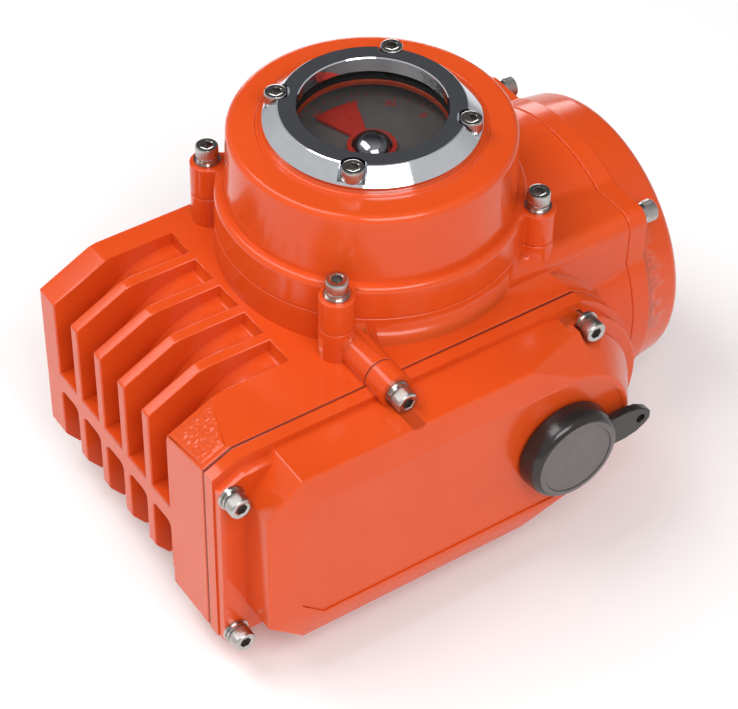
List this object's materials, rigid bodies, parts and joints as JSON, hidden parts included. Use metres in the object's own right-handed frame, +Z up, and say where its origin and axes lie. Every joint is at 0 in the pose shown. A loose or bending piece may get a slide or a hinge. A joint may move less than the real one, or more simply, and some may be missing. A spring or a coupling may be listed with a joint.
{
  "type": "motorized valve actuator",
  "caption": "Quarter-turn electric actuator with finned motor housing, worm drive, windowed indicator cover, round wiring cover and a pull-off rubber cap over its hand drive.",
  "frame": {"origin": "centre of the valve mounting face, on the output axis", "axes": "+Z up the output axis towards the window, +X towards the round end cover, -Y towards the gear cover with the rubber cap"},
  "size_m": [0.2187, 0.1808, 0.1688],
  "materials": {
    "powder_coat": "die casting in gloss orange powder coat",
    "chrome": "polished chrome plate",
    "stainless": "bright stainless steel",
    "steel": "machined steel",
    "black_rubber": "satin moulded rubber",
    "seal_rubber": "matt nitrile rubber",
    "glass": "clear glass",
    "bronze": "machined bronze",
    "copper": "enamelled copper wire",
    "lamination": "stacked steel laminations",
    "aluminium": "satin aluminium",
    "dark_plastic": "moulded black plastic",
    "pale_plastic": "moulded cream plastic",
    "dial": "printed satin dark grey sheet",
    "red_plastic": "red plastic",
    "blue_plastic": "blue plastic"
  },
  "bodies": {
    "housing": {"main_housing": "powder_coat", "top_cover": "powder_coat", "gear_cover": "powder_coat", "end_cover": "powder_coat", "top_cover_seal": "seal_rubber", "gear_cover_gasket": "seal_rubber", "end_cover_seal": "seal_rubber", "bezel_ring": "chrome", "window_glass": "glass", "window_seal": "seal_rubber", "bezel_screws": "stainless", "top_cover_screws": "stainless", "gear_cover_screws": "stainless", "end_cover_screws": "stainless", "flat_washers": "stainless", "spring_washers": "stainless", "motor_stator": "lamination", "motor_windings": "copper", "motor_end_bell": "aluminium", "motor_bearings": "steel", "gear_plate": "steel", "gear_plate_screws": "stainless", "gear_axles": "steel", "axle_clips": "steel", "worm_bearings": "steel", "worm_seal": "seal_rubber", "lower_bush": "bronze", "upper_bush": "bronze", "output_seal": "seal_rubber", "switch_bracket": "steel", "open_switch": "dark_plastic", "close_switch": "dark_plastic", "dial_posts": "steel", "dial_plate": "dial", "terminal_block": "pale_plastic", "terminal_screws": "steel", "motor_capacitor": "aluminium", "capacitor_clip": "steel", "gland_bodies": "dark_plastic", "gland_seals": "seal_rubber", "gland_nuts": "dark_plastic", "earth_screw": "bronze"},
    "output": {"output_shaft": "steel", "worm_wheel": "bronze", "drive_key": "steel", "shaft_circlip": "steel", "cam_shaft": "steel", "open_cam": "red_plastic", "close_cam": "blue_plastic", "pointer": "red_plastic", "pointer_nut": "chrome"},
    "worm": {"worm_shaft": "steel", "worm_spur_gear": "bronze"},
    "rotor": {"motor_rotor": "lamination", "motor_pinion": "steel"},
    "first_cluster": {"first_cluster_gear": "bronze"},
    "second_cluster": {"second_cluster_gear": "bronze"},
    "hand_drive_cap": {"rubber_cap": "black_rubber"},
    "open_button": {"open_plunger": "pale_plastic"},
    "close_button": {"close_plunger": "pale_plastic"}
  },
  "joints": [
    {"name": "worm_spin", "type": "hinge", "parent": "housing", "child": "worm", "pos_m": [0.024, -0.07, 0.0625], "axis": [0, -1, 0], "range_deg": [0, 3240]},
    {"name": "output_turn", "type": "hinge", "parent": "housing", "child": "output", "pos_m": [0, 0, 0.0625], "axis": [0, 0, 1], "range_deg": [0, 90]},
    {"name": "second_cluster_spin", "type": "hinge", "parent": "housing", "child": "second_cluster", "pos_m": [-0.005, -0.066, 0.0625], "axis": [0, -1, 0], "range_deg": [-10183.86, 0]},
    {"name": "first_cluster_spin", "type": "hinge", "parent": "housing", "child": "first_cluster", "pos_m": [-0.034, -0.06, 0.0625], "axis": [0, -1, 0], "range_deg": [0, 32004.26]},
    {"name": "motor_spin", "type": "hinge", "parent": "housing", "child": "rotor", "pos_m": [-0.062, 0, 0.0625], "axis": [0, -1, 0], "range_deg": [-117346.31, 0]},
    {"name": "cap_pull", "type": "slide", "parent": "housing", "child": "hand_drive_cap", "axis": [0, -1, 0], "range_m": [0, 0.03]},
    {"name": "open_button_press", "type": "slide", "parent": "housing", "child": "open_button", "axis": [0, 1, 0], "range_m": [0, 0.0015], "stiffness_N_per_m": 300, "springref_m": -0.001},
    {"name": "close_button_press", "type": "slide", "parent": "housing", "child": "close_button", "axis": [0, 1, 0], "range_m": [0, 0.0015], "stiffness_N_per_m": 300, "springref_m": -0.001}
  ],
  "couplings": [
    {"joint": "output_turn", "follows": "worm_spin", "ratio": 0.027778},
    {"joint": "second_cluster_spin", "follows": "worm_spin", "ratio": -3.1429},
    {"joint": "first_cluster_spin", "follows": "worm_spin", "ratio": 9.8776},
    {"joint": "motor_spin", "follows": "worm_spin", "ratio": -36.218}
  ]
}
